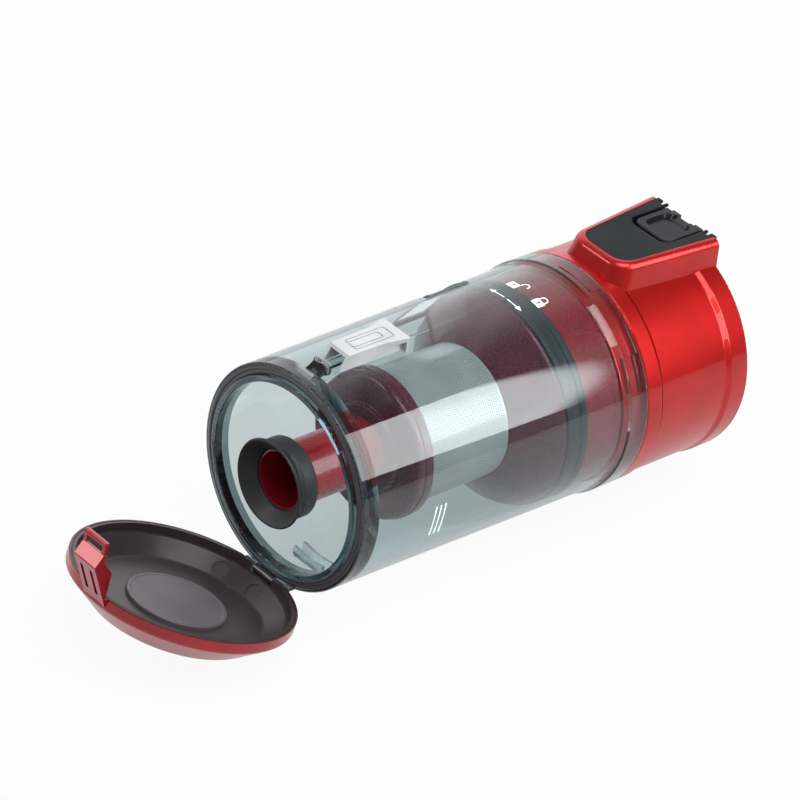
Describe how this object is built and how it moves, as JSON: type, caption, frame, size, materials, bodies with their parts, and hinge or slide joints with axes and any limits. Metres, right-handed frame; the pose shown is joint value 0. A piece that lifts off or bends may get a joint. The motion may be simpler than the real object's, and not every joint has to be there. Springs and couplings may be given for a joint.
{
  "type": "cyclone dust cup of a handheld vacuum",
  "caption": "Clear cylindrical dust cup on a red vacuum head, with a cyclone screen inside, a hinged bottom lid held by a thumb latch, and a release button on top.",
  "frame": {"origin": "centre of the rear socket's mouth, where the motor unit plugs in", "axes": "+X along the cup's axis, out of the rear socket; the lid is at -X. +Z towards the latch and the release button. +Y completes the right-handed set, towards the air inlet's side."},
  "size_m": [0.3631, 0.1164, 0.1308],
  "materials": {
    "smoke_clear": "clear, polished",
    "red_gloss": "gloss with fine metallic flake",
    "red_satin": "semi-gloss",
    "black_rubber": "matte, moulded",
    "charcoal_rubber": "matte, moulded",
    "grey_rubber": "matte, moulded",
    "brown_plastic": "fine grained",
    "black_plastic": "fine grained",
    "black_gloss": "semi-gloss",
    "grey_plastic": "moulded",
    "silver": "silver, satin",
    "steel_mesh": "perforated sheet",
    "steel": "drawn wire and rod",
    "paper": "pleated paper",
    "foam": "open-cell foam"
  },
  "bodies": {
    "head": {"head_housing": "red_gloss", "top_panel": "black_plastic", "button_spring": "steel", "neck_ring": "red_satin", "cyclone_seal": "black_rubber", "shroud_cone": "red_satin", "mesh_screen": "steel_mesh", "screen_frame": "black_plastic", "skirt": "red_satin", "fine_dust_tube": "red_satin", "tube_boot": "black_rubber", "cyclone_funnel": "grey_plastic", "vortex_finder": "grey_plastic", "unit_screws": "steel", "filter_frame": "grey_plastic", "filter_media": "paper", "filter_foam": "foam", "socket_gasket": "black_rubber"},
    "cup": {"dust_cup": "smoke_clear", "lip_seal": "charcoal_rubber", "hinge_pin": "steel", "latch_spring": "steel", "inlet_gasket": "grey_rubber"},
    "lid": {"lid_shell": "red_gloss", "lid_liner": "brown_plastic", "lid_pad": "grey_rubber", "lid_clip": "red_gloss"},
    "latch": {"latch_button": "silver"},
    "button": {"release_button": "black_gloss"}
  },
  "joints": [
    {"name": "cup_twist", "type": "hinge", "parent": "head", "child": "cup", "pos_m": [-0.1, 0, 0], "axis": [1, 0, 0], "range_deg": [0, 20]},
    {"name": "lid_hinge", "type": "hinge", "parent": "cup", "child": "lid", "pos_m": [-0.2467, 0, -0.0535], "axis": [0, -1, 0], "range_deg": [-75, 20]},
    {"name": "latch_slide", "type": "slide", "parent": "cup", "child": "latch", "axis": [-1, 0, 0], "range_m": [0, 0.004], "stiffness_N_per_m": 600, "springref_m": -0.001, "deforming": ["latch_spring"]},
    {"name": "button_press", "type": "slide", "parent": "head", "child": "button", "axis": [0, 0, -1], "range_m": [0, 0.003], "stiffness_N_per_m": 800, "springref_m": -0.001, "deforming": ["button_spring"]}
  ]
}
